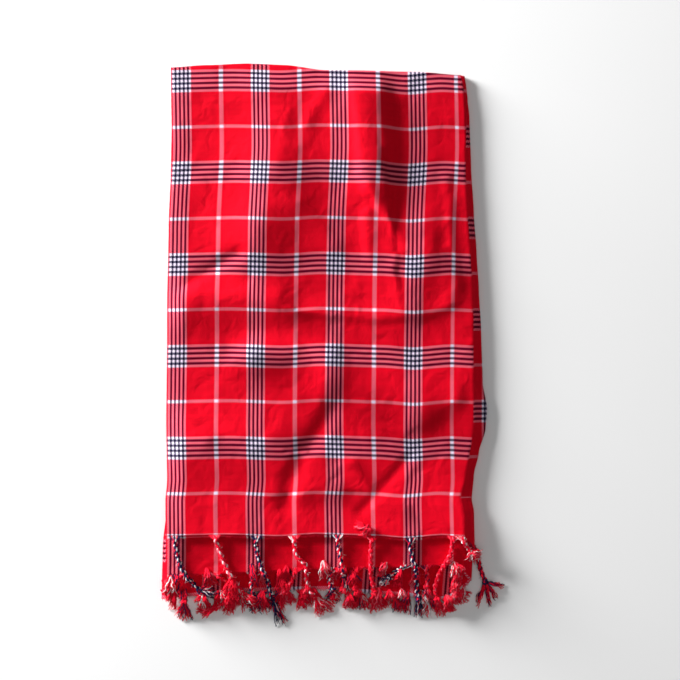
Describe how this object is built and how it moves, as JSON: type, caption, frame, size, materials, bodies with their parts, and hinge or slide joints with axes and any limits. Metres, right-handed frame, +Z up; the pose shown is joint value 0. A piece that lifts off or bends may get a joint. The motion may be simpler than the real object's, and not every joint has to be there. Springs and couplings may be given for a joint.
{
  "type": "maasai shuka blanket",
  "caption": "Red plaid cotton-type shuka cloth folded in four, with twisted and knotted fringe tassels lying out past its ends.",
  "frame": {"origin": "centre of the footprint, on the surface that the folded cloth lies on", "axes": "+Z up out of the folded cloth, +Y towards the crosswise fold, +X towards the lengthwise fold"},
  "size_m": [0.6104, 1.0076, 0.0391],
  "materials": {
    "plaid_twill": "soft woven twill, slightly glossy, red with navy and white plaid lines",
    "fringe_yarn": "plied and knotted yarn, fuzzy, red, navy and white"
  },
  "bodies": {
    "root": {"shuka_cloth": "plaid_twill", "fringe_front": "fringe_yarn", "fringe_second": "fringe_yarn", "fringe_third": "fringe_yarn", "fringe_under": "fringe_yarn"}
  },
  "joints": []
}
